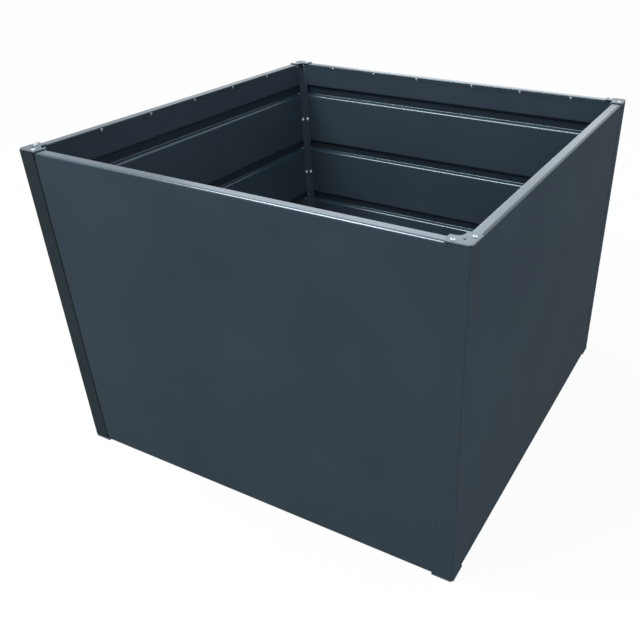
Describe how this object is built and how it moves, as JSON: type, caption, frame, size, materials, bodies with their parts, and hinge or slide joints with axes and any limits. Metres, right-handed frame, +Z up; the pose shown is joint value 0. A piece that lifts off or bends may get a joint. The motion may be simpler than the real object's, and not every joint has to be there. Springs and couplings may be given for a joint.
{
  "type": "raised garden bed",
  "caption": "Square double-walled sheet-metal raised garden bed on corner posts, open at the top and at the bottom, with beaded inner walls.",
  "frame": {"origin": "on the ground, under the middle of the bed", "axes": "+Z up, +X along the front wall to the right, +Y from the front wall to the back wall"},
  "size_m": [1.033, 1.033, 0.7727],
  "materials": {
    "panel_coat": "satin anthracite powder coat",
    "liner_coat": "satin anthracite powder coat",
    "post_coat": "satin anthracite powder coat",
    "plate_coat": "satin anthracite powder coat",
    "zinc_screws": "bright zinc plating",
    "rivet_steel": "bare steel blind rivets"
  },
  "bodies": {
    "root": {"front_panel": "panel_coat", "front_liner": "liner_coat", "front_rivets": "rivet_steel", "right_panel": "panel_coat", "right_liner": "liner_coat", "right_rivets": "rivet_steel", "back_panel": "panel_coat", "back_liner": "liner_coat", "back_rivets": "rivet_steel", "left_panel": "panel_coat", "left_liner": "liner_coat", "left_rivets": "rivet_steel", "front_left_post": "post_coat", "front_left_angle": "liner_coat", "front_left_plate": "plate_coat", "front_left_foot": "plate_coat", "front_left_plate_screws": "zinc_screws", "front_left_foot_screws": "zinc_screws", "front_left_inner_screws": "zinc_screws", "front_left_nuts": "zinc_screws", "front_right_post": "post_coat", "front_right_angle": "liner_coat", "front_right_plate": "plate_coat", "front_right_foot": "plate_coat", "front_right_plate_screws": "zinc_screws", "front_right_foot_screws": "zinc_screws", "front_right_inner_screws": "zinc_screws", "front_right_nuts": "zinc_screws", "back_right_post": "post_coat", "back_right_angle": "liner_coat", "back_right_plate": "plate_coat", "back_right_foot": "plate_coat", "back_right_plate_screws": "zinc_screws", "back_right_foot_screws": "zinc_screws", "back_right_inner_screws": "zinc_screws", "back_right_nuts": "zinc_screws", "back_left_post": "post_coat", "back_left_angle": "liner_coat", "back_left_plate": "plate_coat", "back_left_foot": "plate_coat", "back_left_plate_screws": "zinc_screws", "back_left_foot_screws": "zinc_screws", "back_left_inner_screws": "zinc_screws", "back_left_nuts": "zinc_screws"}
  },
  "joints": []
}
